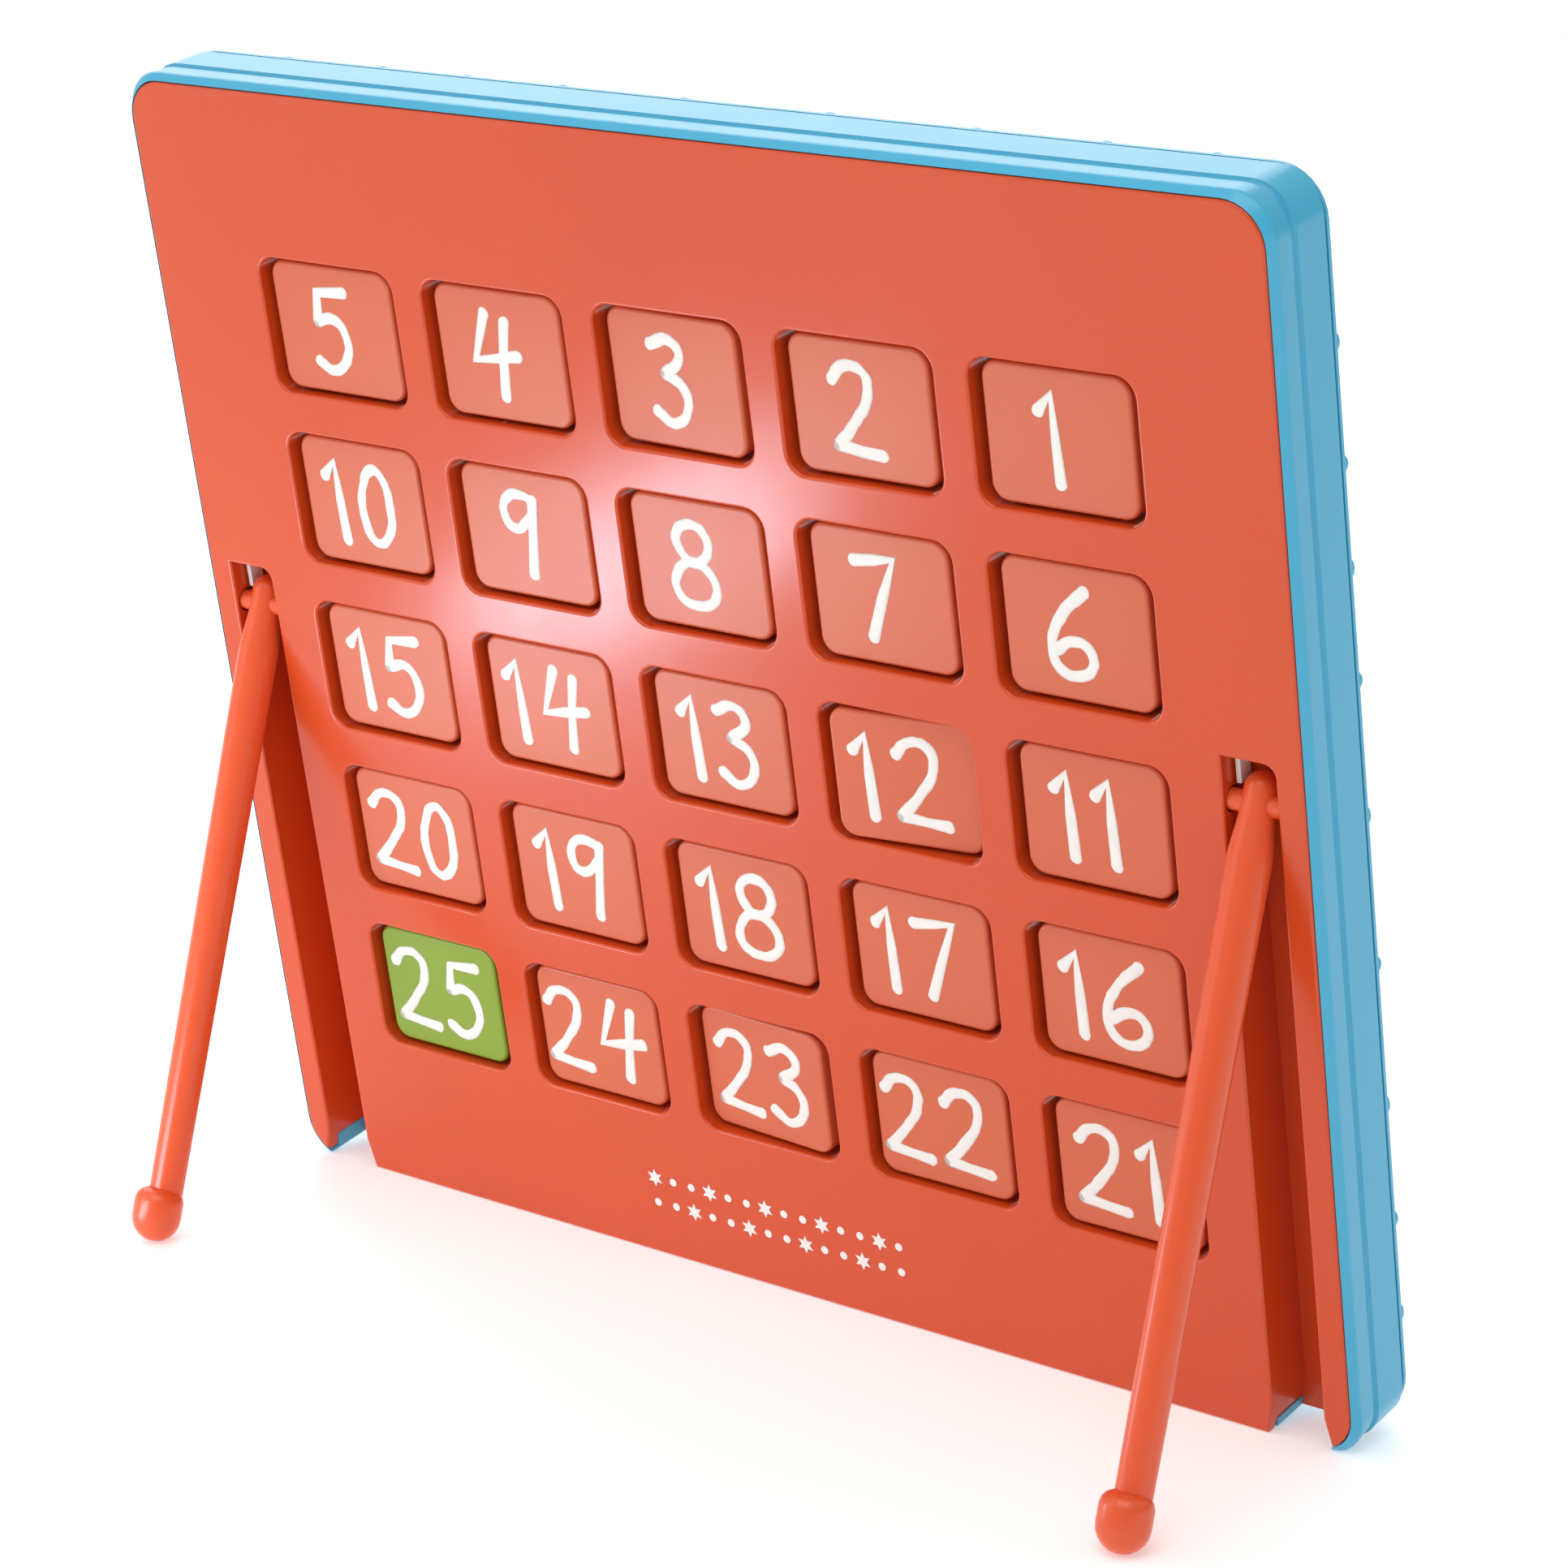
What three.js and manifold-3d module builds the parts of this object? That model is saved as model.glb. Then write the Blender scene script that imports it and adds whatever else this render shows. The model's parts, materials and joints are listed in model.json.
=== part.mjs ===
// Free-standing countdown calendar with twenty-five flip tiles, in millimetres, +Z up.
// The front picture faces -Y. The panel leans back on two hinged legs behind it.
// The panel is built upright about its own middle: X across, Z up, and depth is measured
// from the rear face (depth 0) towards the front. The whole panel is then leaned back.
import * as THREE from "three";
import { mergeVertices } from "three/addons/utils/BufferGeometryUtils.js";
import Module from "manifold-3d";

const wasm = await Module();
wasm.setup();

// Driving dimensions.
const GRID = 5; // windows across and down
const PITCH_X = 27;
const PITCH_Z = 23;
const WINDOW = { width: 22.2, height: 17.6, radius: 2.6 };
const PLATE = { width: 165.8, height: 152, radius: 5.2, sheet: 1.6, depth: 4.45, step: 1.5 };
const GAP = 0.3; // between neighbouring mouldings
const FRAME = { edge: 0.9, depth: 10.6, groove: 0.3, grooveWidth: 0.5 };
const PANEL = { thickness: 0.8, inset: 0.3, relief: 1.4 };
const TILE = { width: 19.8, height: 17, radius: 2.2, thickness: 7.4, chamfer: 0.8 };
const PIN = { radius: 1, length: 1.9, clearance: 0.25, grip: 2, sides: 6 };
const CHANNEL = { x: 75.8, width: 7, depth: 7.4, wall: 0.8, top: 11.75, corner: 1.6 };
const HEAD = { bottom: 6.9, depth: 5.1 }; // the shallow head of a channel stops the open leg
const MOUTH = { flare: 1.6, length: 4.3 };
const PIVOT = { z: 5.9, depth: 1.9, radius: 1.3, reach: 4.1 };
const LEG = { length: 81.3, neck: 2.1, tip: 3.8, taper: 7, top: 2.6, bottom: 2.2 };
const FOOT = { radius: 3.2, barrel: 2.2, offset: 1 };
const KEEPER = { start: 2.5, bottom: 7.6, rear: 2.4, front: 4.6 };
const LEAN = THREE.MathUtils.degToRad(10.5);
const TURNED = { 3: -2, 12: 6, 23: -3.5 }; // tiles left a few degrees off square

const SEAM = PLATE.depth + GAP / 2; // depth of the tile pins, between plate and grid
const CORNER_STEPS = 3;
const WINDOW_STEPS = 1;
const LEG_SIDES = 12;

const plastic = (color, roughness) =>
  new THREE.MeshStandardMaterial({ color, roughness, metalness: 0 });
const red = plastic(0xdf6347, 0.32);
const blue = plastic(0x7cc0e0, 0.35);
const green = plastic(0x96b946, 0.35);
const orange = plastic(0xee5c30, 0.35);
const white = plastic(0xf1efe9, 0.45);

// A three.js geometry as a solid for joining and cutting.
function solid(geometry) {
  const bare = geometry.clone();
  bare.deleteAttribute("normal");
  bare.deleteAttribute("uv");
  const merged = mergeVertices(bare, 1e-4);
  return new wasm.Manifold(
    new wasm.Mesh({
      numProp: 3,
      vertProperties: merged.attributes.position.array,
      triVerts: new Uint32Array(merged.index.array),
    }),
  );
}

// A solid as a named mesh.
function meshOf(name, body, material) {
  const made = body.getMesh();
  const geometry = new THREE.BufferGeometry()
    .setAttribute("position", new THREE.BufferAttribute(made.vertProperties, 3))
    .setIndex(new THREE.BufferAttribute(made.triVerts, 1));
  geometry.computeVertexNormals();
  const mesh = new THREE.Mesh(geometry, material);
  mesh.name = name;
  return mesh;
}

// Traces a rounded rectangle centred on (x, z) into a shape or a hole.
function roundedRect(path, width, height, radius, x = 0, z = 0) {
  const [w, h] = [width / 2, height / 2];
  path.moveTo(x - w + radius, z - h);
  path.lineTo(x + w - radius, z - h);
  path.absarc(x + w - radius, z - h + radius, radius, -Math.PI / 2, 0);
  path.lineTo(x + w, z + h - radius);
  path.absarc(x + w - radius, z + h - radius, radius, 0, Math.PI / 2);
  path.lineTo(x - w + radius, z + h);
  path.absarc(x - w + radius, z + h - radius, radius, Math.PI / 2, Math.PI);
  path.lineTo(x - w, z - h + radius);
  path.absarc(x - w + radius, z - h + radius, radius, Math.PI, 1.5 * Math.PI);
  return path;
}

// An outline in X and Z made solid between two depths behind the rear face.
function slab(shape, from, to, steps = CORNER_STEPS) {
  const options = { depth: to - from, bevelEnabled: false, curveSegments: steps };
  const geometry = new THREE.ExtrudeGeometry(shape, options);
  return solid(geometry.translate(0, 0, from).rotateX(Math.PI / 2));
}

function roundedSlab(width, height, radius, from, to, x = 0, z = 0) {
  return slab(roundedRect(new THREE.Shape(), width, height, radius, x, z), from, to);
}

function block(x, z, width, height, from, to) {
  const geometry = new THREE.BoxGeometry(width, to - from, height);
  return solid(geometry.translate(x, -(from + to) / 2, z));
}

const windows = [];
for (let row = 0; row < GRID; row++)
  for (let column = 0; column < GRID; column++)
    windows.push({
      number: row * GRID + column + 1,
      x: (column - (GRID - 1) / 2) * PITCH_X,
      z: ((GRID - 1) / 2 - row) * PITCH_Z,
    });

// A rounded sheet with the twenty-five windows through it.
function windowSheet(width, height, radius, from, to) {
  const shape = roundedRect(new THREE.Shape(), width, height, radius);
  for (const { x, z } of windows) {
    const hole = new THREE.Path();
    shape.holes.push(roundedRect(hole, WINDOW.width, WINDOW.height, WINDOW.radius, x, z));
  }
  return slab(shape, from, to, WINDOW_STEPS);
}

// Half-round seats for the tile pins, one rod through the bars above and below each window.
function pinSeats() {
  const length = WINDOW.height + 2 * PIN.grip;
  const radius = PIN.radius + PIN.clearance;
  return windows.map(({ x, z }) => {
    const rod = new THREE.CylinderGeometry(radius, radius, length, PIN.sides);
    return solid(rod.rotateX(Math.PI / 2).translate(x, -SEAM, z));
  });
}

const joined = (solids) => wasm.Manifold.union(solids);
const bottom = -PLATE.height / 2;
const belowFoot = block(0, bottom - 5, PLATE.width + 10, 10, -1, 20); // all stand flush here

// The long slot a leg folds into: round at one top corner, flared at its mouth.
function channelCut(x, extra, from, to, below = 1) {
  const w = CHANNEL.width / 2 + extra;
  const top = CHANNEL.top + extra;
  const shape = new THREE.Shape();
  shape.moveTo(x - w - MOUTH.flare, bottom - below);
  shape.lineTo(x + w + MOUTH.flare, bottom - below);
  shape.lineTo(x + w + MOUTH.flare, bottom);
  shape.lineTo(x + w, bottom + MOUTH.length);
  shape.lineTo(x + w, top);
  shape.lineTo(x - w + CHANNEL.corner, top);
  shape.absarc(x - w + CHANNEL.corner, top - CHANNEL.corner, CHANNEL.corner,
    Math.PI / 2, Math.PI);
  shape.lineTo(x - w, bottom + MOUTH.length);
  shape.lineTo(x - w - MOUTH.flare, bottom);
  return slab(shape, from, to);
}

const legSides = [["left", -CHANNEL.x], ["right", CHANNEL.x]];
const channelHead = (x) => block(x, CHANNEL.top, 2 * CHANNEL.width,
  2 * (CHANNEL.top - HEAD.bottom), HEAD.depth, CHANNEL.depth + 1);
const troughDepth = CHANNEL.depth + CHANNEL.wall;

// Seats for the leg pins: a blind hole in one wall, and in the other a notch that is open
// to the rear, which the pin snaps into.
function pivotSeat(x) {
  const radius = PIVOT.radius + PIN.clearance;
  const reach = PIVOT.reach + GAP;
  const seat = new THREE.CylinderGeometry(radius, radius, 2 * reach, LEG_SIDES);
  seat.rotateZ(Math.PI / 2).translate(x, -PIVOT.depth, PIVOT.z);
  return solid(seat).add(block(x - reach / 2, PIVOT.z, reach, 2 * radius, -1, PIVOT.depth));
}

// Red rear moulding: window grid, stepped edge and the two leg channels.
function rearPlate() {
  const { width, height, radius, sheet, depth, step } = PLATE;
  const troughHeight = CHANNEL.top + CHANNEL.wall - bottom;
  const troughs = legSides.map(([, x]) =>
    block(x, CHANNEL.top + CHANNEL.wall - troughHeight / 2,
      CHANNEL.width + 2 * CHANNEL.wall, troughHeight, sheet, troughDepth));
  const core = roundedSlab(width - 2 * step, height - 2 * step, radius - step, 0, depth + 2);
  const edge = block(0, 0, width + 4, height + 4, sheet, depth + 1).subtract(core);
  return joined([
    windowSheet(width, height, radius, 0, depth).subtract(edge),
    ...troughs,
  ]).subtract(joined([
    ...legSides.map(([, x]) => channelCut(x, 0, -1, CHANNEL.depth).subtract(channelHead(x))),
    ...legSides.map(([, x]) => pivotSeat(x)),
    ...pinSeats(),
  ]));
}

// Blue band round the sides, with a rebate for the plate and a groove at mid-depth.
function sideFrame() {
  const outline = (grow, from, to) => roundedSlab(
    PLATE.width + 2 * (FRAME.edge + grow), PLATE.height + 2 * (FRAME.edge + grow),
    PLATE.radius + FRAME.edge + grow, from, to);
  const grooveStart = SEAM - FRAME.grooveWidth / 2;
  const grooveEnd = SEAM + FRAME.grooveWidth / 2;
  const roundDrop = 0.3 * FRAME.edge; // the rear edge is rounded over in two facets
  const band = joined([
    outline(-roundDrop, roundDrop, FRAME.edge + 0.1),
    outline(0, FRAME.edge, grooveStart),
    outline(-FRAME.groove, grooveStart - 0.1, grooveEnd + 0.1),
    outline(0, grooveEnd, FRAME.depth),
  ]);
  const rebate = roundedSlab(PLATE.width + 2 * GAP, PLATE.height + 2 * GAP,
    PLATE.radius + GAP, -1, PLATE.sheet + GAP);
  const bore = roundedSlab(PLATE.width - 2 * (PLATE.step - GAP),
    PLATE.height - 2 * (PLATE.step - GAP), PLATE.radius - PLATE.step + GAP, -1, 20);
  return band.subtract(joined([
    rebate,
    bore,
    belowFoot,
    ...legSides.map(([, x]) => channelCut(x, 0, -1, troughDepth + GAP, 5)),
  ]));
}

// Blue grid in front of the plate; the tile pins turn between the two.
function windowGrid() {
  const inset = PLATE.step;
  const grid = windowSheet(PLATE.width - 2 * inset, PLATE.height - 2 * inset,
    PLATE.radius - inset, PLATE.depth + GAP, FRAME.depth);
  const reach = 5;
  const high = CHANNEL.top + CHANNEL.wall + GAP;
  const pockets = legSides.map(([, x]) => block(x, (high + bottom - reach) / 2,
    CHANNEL.width + 2 * (CHANNEL.wall + GAP), high - bottom + reach,
    PLATE.depth, troughDepth + GAP));
  const mouths = legSides.map(([, x]) => channelCut(x, 0, -1, troughDepth + GAP, reach));
  return grid.subtract(joined([...pinSeats(), ...pockets, ...mouths]));
}

const panelBack = FRAME.depth + GAP;
const panelFace = panelBack + PANEL.thickness;

// A six-armed snowflake that stands out of the front panel.
function snowflake(x, z, radius) {
  const bars = [0, 1, 2].map((arm) => {
    const bar = new THREE.BoxGeometry(radius * 0.24, PANEL.relief + 0.4, 2 * radius);
    return solid(bar.rotateY(arm * Math.PI / 3));
  });
  return joined(bars)
    .translate([x, -(panelFace - 0.4 + (PANEL.relief + 0.4) / 2), z]);
}

// Rolling snow along the foot of the front panel.
function snowBank() {
  const half = PLATE.width / 2 - 3;
  const low = bottom + 2;
  const shape = new THREE.Shape();
  shape.moveTo(-half, low);
  shape.lineTo(half, low);
  shape.lineTo(half, low + 15);
  shape.bezierCurveTo(half * 0.7, low + 19, half * 0.45, low + 10, half * 0.1, low + 12);
  shape.bezierCurveTo(-half * 0.3, low + 17, -half * 0.6, low + 9, -half, low + 17);
  return slab(shape, panelFace - 0.4, panelFace + PANEL.relief, 8);
}

// Blue front panel with its relief: snowflakes at the sides and top, snow at the foot.
function frontPanel() {
  const grow = FRAME.edge - PANEL.inset;
  const sheet = windowSheet(PLATE.width + 2 * grow, PLATE.height + 2 * grow,
    PLATE.radius + grow, panelBack, panelFace);
  const flakes = [];
  for (const side of [-1, 1])
    for (let i = 0; i < 4; i++)
      flakes.push(snowflake(side * 74.5, 50 - i * 28, i % 2 ? 4.6 : 7));
  for (const [x, radius] of [[-58, 5], [-31, 8], [0, 5.5], [28, 7.5], [56, 5]])
    flakes.push(snowflake(x, 66, radius));
  const bank = snowBank().subtract(windowCut());
  return joined([sheet.subtract(belowFoot), bank, ...flakes]);
}

// The bottom row of windows, kept clear of the relief.
function windowCut() {
  const lowRow = windows.filter(({ number }) => number > GRID * (GRID - 1));
  return joined(lowRow.map(({ x, z }) => block(x, z, WINDOW.width + 1.6,
    WINDOW.height + 1.6, panelFace - 1, panelFace + 5)));
}

// A tile with its two stub pins, about its own middle.
function tile() {
  const { width, height, radius, thickness, chamfer } = TILE;
  const shape = roundedRect(new THREE.Shape(), width - 2 * chamfer, height - 2 * chamfer,
    radius - chamfer);
  const body = new THREE.ExtrudeGeometry(shape, {
    depth: thickness - 2 * chamfer, bevelSize: chamfer, bevelThickness: chamfer,
    bevelSegments: 1, curveSegments: WINDOW_STEPS,
  });
  body.translate(0, 0, -(thickness - 2 * chamfer) / 2).rotateX(Math.PI / 2);
  const reach = height + 2 * PIN.length;
  const pins = new THREE.CylinderGeometry(PIN.radius, PIN.radius, reach, PIN.sides);
  return solid(body).add(solid(pins.rotateX(Math.PI / 2)));
}

// A leg about its pivot, pointing down: neck, tapered rod, offset foot and pivot pins.
function leg() {
  const profile = [[0, LEG.tip]];
  for (const angle of [60, 30, 0]) {
    const turn = THREE.MathUtils.degToRad(angle);
    profile.push([LEG.neck * Math.cos(turn), LEG.tip - LEG.neck * (1 - Math.sin(turn))]);
  }
  profile.push([LEG.top, -LEG.taper], [LEG.bottom, -LEG.length], [0, -LEG.length]);
  const points = profile.reverse().map(([r, z]) => new THREE.Vector2(r, z));
  const rod = new THREE.LatheGeometry(points, LEG_SIDES).rotateX(Math.PI / 2);
  const pins = new THREE.CylinderGeometry(PIVOT.radius, PIVOT.radius, 2 * PIVOT.reach, LEG_SIDES);
  return joined([solid(rod), solid(pins.rotateZ(Math.PI / 2)), foot()]);
}

// The foot: a short barrel with a coned shoulder and a round end.
function foot() {
  const profile = [];
  for (const angle of [-90, -60, -30, 0]) {
    const turn = THREE.MathUtils.degToRad(angle);
    profile.push([FOOT.radius * Math.cos(turn), -LEG.length + FOOT.radius * Math.sin(turn)]);
  }
  profile.push([FOOT.radius, -LEG.length + FOOT.barrel]);
  profile.push([LEG.bottom * 0.8, -LEG.length + FOOT.barrel + 1.6]);
  profile.push([0, -LEG.length + FOOT.barrel + 1.6]);
  profile[0][0] = 0;
  const points = profile.map(([r, z]) => new THREE.Vector2(r, z));
  const barrel = new THREE.LatheGeometry(points, LEG_SIDES).rotateX(Math.PI / 2);
  return solid(barrel.translate(0, FOOT.offset, 0));
}

// White keeper wedged in the head of a channel, beside the neck: it holds the pin down.
function keeper(x) {
  const end = CHANNEL.width / 2 - GAP;
  const top = CHANNEL.top - GAP;
  return block(x + (KEEPER.start + end) / 2, (top + KEEPER.bottom) / 2, end - KEEPER.start,
    top - KEEPER.bottom, KEEPER.rear, KEEPER.front);
}

// The opening angle at which both feet stand level with the panel's lower rear edge.
function openAngle() {
  const pivotHeight = PIVOT.z * Math.cos(LEAN) + PIVOT.depth * Math.sin(LEAN);
  const edgeHeight = bottom * Math.cos(LEAN);
  const drop = pivotHeight - edgeHeight - FOOT.radius;
  const reach = Math.hypot(LEG.length, FOOT.offset);
  return LEAN + Math.acos(drop / reach) - Math.atan(FOOT.offset / LEG.length);
}

const panel = new THREE.Group();
panel.add(meshOf("rear_plate", rearPlate(), red));
panel.add(meshOf("side_frame", sideFrame(), blue));
panel.add(meshOf("window_grid", windowGrid(), blue));
panel.add(meshOf("front_panel", frontPanel(), blue));
for (const { number, x, z } of windows) {
  const name = "tile_" + String(number).padStart(2, "0");
  const mesh = meshOf(name, tile(), number === GRID * GRID ? green : red);
  mesh.position.set(x, -SEAM, z);
  mesh.rotation.z = THREE.MathUtils.degToRad(TURNED[number] ?? 0);
  panel.add(mesh);
}
for (const [side, x] of legSides) {
  panel.add(meshOf("leg_keeper_" + side, keeper(x), white));
  const mesh = meshOf("leg_" + side, leg(), orange);
  mesh.position.set(x, -PIVOT.depth, PIVOT.z);
  mesh.rotation.x = openAngle();
  panel.add(mesh);
}
panel.rotation.x = -LEAN;

// The origin is the bottom centre of the standing calendar's box.
const calendar = new THREE.Group();
calendar.add(panel);
calendar.updateMatrixWorld(true);
const box = new THREE.Box3().setFromObject(calendar, true);
const middle = box.getCenter(new THREE.Vector3());
panel.position.set(-middle.x, -middle.y, -box.min.z);

export default calendar;
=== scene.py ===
import json
from math import atan2, cos, hypot, pi, radians, sin

import bmesh
import bpy
from mathutils import Matrix, Vector, noise


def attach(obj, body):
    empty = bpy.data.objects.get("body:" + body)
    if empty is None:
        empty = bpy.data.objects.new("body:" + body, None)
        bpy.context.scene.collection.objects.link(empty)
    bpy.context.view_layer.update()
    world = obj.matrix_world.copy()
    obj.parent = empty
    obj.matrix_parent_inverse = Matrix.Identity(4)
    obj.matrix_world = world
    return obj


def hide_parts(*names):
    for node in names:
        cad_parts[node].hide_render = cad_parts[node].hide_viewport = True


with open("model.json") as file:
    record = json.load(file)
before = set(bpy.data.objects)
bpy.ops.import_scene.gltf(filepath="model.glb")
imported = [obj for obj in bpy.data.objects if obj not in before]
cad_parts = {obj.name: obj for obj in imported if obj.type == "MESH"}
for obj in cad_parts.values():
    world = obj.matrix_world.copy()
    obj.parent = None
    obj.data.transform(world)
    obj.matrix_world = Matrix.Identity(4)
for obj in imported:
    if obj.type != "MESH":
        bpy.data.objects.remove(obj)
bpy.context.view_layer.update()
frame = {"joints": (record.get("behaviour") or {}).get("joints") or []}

# Where everything stands. The panel leans back on its legs, and every moulding is shaped
# upright first: X across, Z up, its rear face at y = 0 and its front towards -Y. lean()
# then tips the finished shape into the place that the middle tile's pins give.
MM = 0.001
PIN_DEPTH = 4.6
GRID = 5
PITCH_X = 27
PITCH_Z = 23
joints = {joint["name"]: joint for joint in frame["joints"]}
MIDDLE = (GRID * GRID + 1) // 2
pin_up = Vector(joints[f"turn_{MIDDLE:02d}"]["axis"])
LEAN = atan2(pin_up.y, pin_up.z)
TIP = Matrix.Rotation(-LEAN, 4, "X")
rearward = TIP @ Vector((0, 1, 0))
grid_middle = Vector(joints[f"turn_{MIDDLE:02d}"]["pos_m"]) + rearward * PIN_DEPTH * MM
PLACE = Matrix.Translation(grid_middle) @ TIP


def lean(piece):
    """Tips an upright shape back with the panel, in its mesh."""
    piece.data.transform(PLACE)
    piece.data.update()
    return piece


# The camera looks down on the back of the calendar from its upper right.
CAMERA_AT = Vector((-0.3308, 0.4099, 0.1457))
LOOKS_AT = Vector((-0.010, 0, -0.003))
camera = bpy.data.objects.new("camera", bpy.data.cameras.new("camera"))
bpy.context.collection.objects.link(camera)
camera.location = grid_middle + CAMERA_AT
camera.rotation_euler = (LOOKS_AT - CAMERA_AT).to_track_quat("-Z", "Y").to_euler()
camera.data.lens = 104.5
camera.data.sensor_width = 36
bpy.context.scene.camera = camera


# A plain pale table top, and soft light from a white tent with three broad panels of light.
# A low strip behind the calendar is what shines back from the rear moulding.
class Shade:
    """A number that changes over a surface. Arithmetic on it adds Math nodes."""

    def __init__(self, finish, socket):
        self.finish = finish
        self.socket = socket

    def sum(self, operation, first, second):
        settings = {"operation": operation}
        return self.finish.node("ShaderNodeMath", settings, {0: first, 1: second})

    def __add__(self, other):
        return self.sum("ADD", self, other)

    __radd__ = __add__

    def __mul__(self, other):
        return self.sum("MULTIPLY", self, other)

    def over(self, level):
        return self.sum("GREATER_THAN", self, level)

    def under(self, level):
        return self.sum("LESS_THAN", self, level)


class Finish:
    """One material, built up around the shader of its surface."""

    def __init__(self, name, **levels):
        self.material = bpy.data.materials.new(name)
        self.material.use_nodes = True
        self.shader = self.material.node_tree.nodes["Principled BSDF"]
        for level, value in levels.items():
            self.shader.inputs[level.replace("_", " ")].default_value = value
        self.place = self.node("ShaderNodeTexCoord", {}, {}, "Object")

    def node(self, kind, settings, values, output=0):
        made = self.material.node_tree.nodes.new(kind)
        for setting, value in settings.items():
            if setting == "stops":
                for stop, (at, color) in zip(made.color_ramp.elements, value):
                    stop.position = at
                    stop.color = color
            else:
                setattr(made, setting, value)
        for socket, value in values.items():
            if isinstance(value, Shade):
                self.material.node_tree.links.new(value.socket, made.inputs[socket])
            else:
                made.inputs[socket].default_value = value
        return Shade(self, made.outputs[output])

    def feed(self, socket, shade):
        self.material.node_tree.links.new(shade.socket, self.shader.inputs[socket])

    def mottle(self, scale, detail=2.0, stretch=(1, 1, 1), rough=0.5):
        """Soft cloudy variation from 0 to 1, with scale in blotches per metre."""
        spread = self.node("ShaderNodeMapping", {}, {"Vector": self.place, "Scale": stretch})
        values = {"Vector": spread, "Scale": scale, "Detail": detail, "Roughness": rough}
        return self.node("ShaderNodeTexNoise", {}, values)

    def blend(self, factor, first, second):
        """Colour that goes from first to second as factor goes from 0 to 1."""
        settings = {"data_type": "RGBA", "blend_type": "MIX"}
        values = {"Factor": factor, 6: first, 7: second}
        return self.node("ShaderNodeMix", settings, values, 2)

    def dimple(self, height, depth):
        """Raises and lowers the surface by height times depth, in metres."""
        values = {"Height": height, "Distance": depth, "Strength": 1.0}
        self.feed("Normal", self.node("ShaderNodeBump", {}, values))


def color(red, green, blue):
    return (red, green, blue, 1)


table_top = Finish("table_top", Roughness=0.6)
haze = table_top.mottle(6)
pale_grey, paler_grey = color(0.83, 0.83, 0.83), color(0.86, 0.86, 0.86)
table_top.feed("Base Color", table_top.blend(haze, pale_grey, paler_grey))
table_top.shader.inputs["Emission Color"].default_value = color(1, 1, 1)
table_top.shader.inputs["Emission Strength"].default_value = 0.36
bpy.ops.object.select_all(action="DESELECT")
bpy.ops.mesh.primitive_plane_add(size=8)
table = bpy.context.object
table.name = "table_top"
table.data.materials.append(table_top.material)

tent = bpy.data.worlds.new("tent")
bpy.context.scene.world = tent
tent.use_nodes = True
sky = tent.node_tree.nodes["Background"]
sky.inputs["Color"].default_value = color(1, 1, 1)
way = tent.node_tree.nodes.new("ShaderNodeTexCoord")
slope = tent.node_tree.nodes.new("ShaderNodeVectorMath")
slope.operation = "DOT_PRODUCT"
slope.inputs[1].default_value = (0.18, 0, 0.40)
level = tent.node_tree.nodes.new("ShaderNodeMath")
level.inputs[1].default_value = 0.45
join_up = tent.node_tree.links.new
join_up(way.outputs["Generated"], slope.inputs[0])
join_up(slope.outputs["Value"], level.inputs[0])
join_up(level.outputs["Value"], sky.inputs["Strength"])
bpy.context.scene.view_settings.view_transform = "Standard"


def light_panel(name, at, towards, width, height, watts, seen=True):
    panel = bpy.data.objects.new(name, bpy.data.lights.new(name, "AREA"))
    bpy.context.collection.objects.link(panel)
    panel.location = at
    panel.rotation_euler = (towards - at).to_track_quat("-Z", "Y").to_euler()
    panel.data.shape = "RECTANGLE"
    panel.data.size = width
    panel.data.size_y = height
    panel.data.energy = watts
    panel.visible_camera = seen
    return panel


def mirrored(x, z, far):
    """The point that a spot of the rear face shows the camera by reflection."""
    spot = PLACE @ (Vector((x, 0, z)) * MM)
    sight = (spot - camera.location).normalized()
    return spot + (sight - 2 * sight.dot(rearward) * rearward) * far


light_panel("overhead", Vector((-0.2, 0.5, 1.1)), grid_middle, 0.9, 0.9, 4.5)
light_panel("left_side", Vector((0.9, 0.9, 0.5)), grid_middle, 0.6, 0.8, 1.3)
light_panel("far_side", grid_middle + Vector((0.474, -0.487, 0.422)), grid_middle, 0.7, 0.7, 2.2,
            seen=False)
STRIP_FAR = 0.17
low_end, high_end = mirrored(38, 8, STRIP_FAR), mirrored(-16, 36, STRIP_FAR)
strip_middle = (low_end + high_end) / 2
strip = light_panel("low_strip", strip_middle, grid_middle, (high_end - low_end).length, 0.020,
                    0.08, seen=False)
along = (high_end - low_end).normalized()
strip.data.color = (0.65, 0.82, 1)
away = (strip_middle - PLACE @ (Vector((11, 0, 22)) * MM)).normalized()
across = away.cross(along).normalized()
strip.rotation_euler = Matrix((along, across, along.cross(across))).transposed().to_euler()


# The red back of the calendar: one moulding with twenty-five windows through it, a step
# round its rim, and two long channels that the legs fold into. Its edges are rounded over.
PLATE = {"width": 165.8, "height": 152, "radius": 5.2, "sheet": 1.6, "depth": 4.45}
STEP = 1.5
WINDOW = {"width": 22.2, "height": 17.6, "radius": 2.6}
CHANNEL = {"x": 75.8, "width": 7, "depth": 7.4, "wall": 0.8, "top": 11.75, "corner": 1.6}
MOUTH = {"flare": 1.6, "length": 4.3}
HEAD = {"bottom": 6.9, "depth": 5.1}
PIVOT = {"z": 5.9, "depth": 1.9, "radius": 1.55, "reach": 4.4}
PIN_SEAT = {"radius": 1.25, "grip": 2}
LIP = 0.45
GAP = 0.3
ROUND_STEPS = 8
PAST = 3
BOTTOM = -PLATE["height"] / 2
TROUGH = CHANNEL["depth"] + CHANNEL["wall"]


def new_piece(name):
    """Names the piece that was just made."""
    piece = bpy.context.object
    piece.name = name
    piece.data.name = name
    return piece


def work_on(piece):
    bpy.ops.object.select_all(action="DESELECT")
    piece.select_set(True)
    bpy.context.view_layer.objects.active = piece
    return piece


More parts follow.
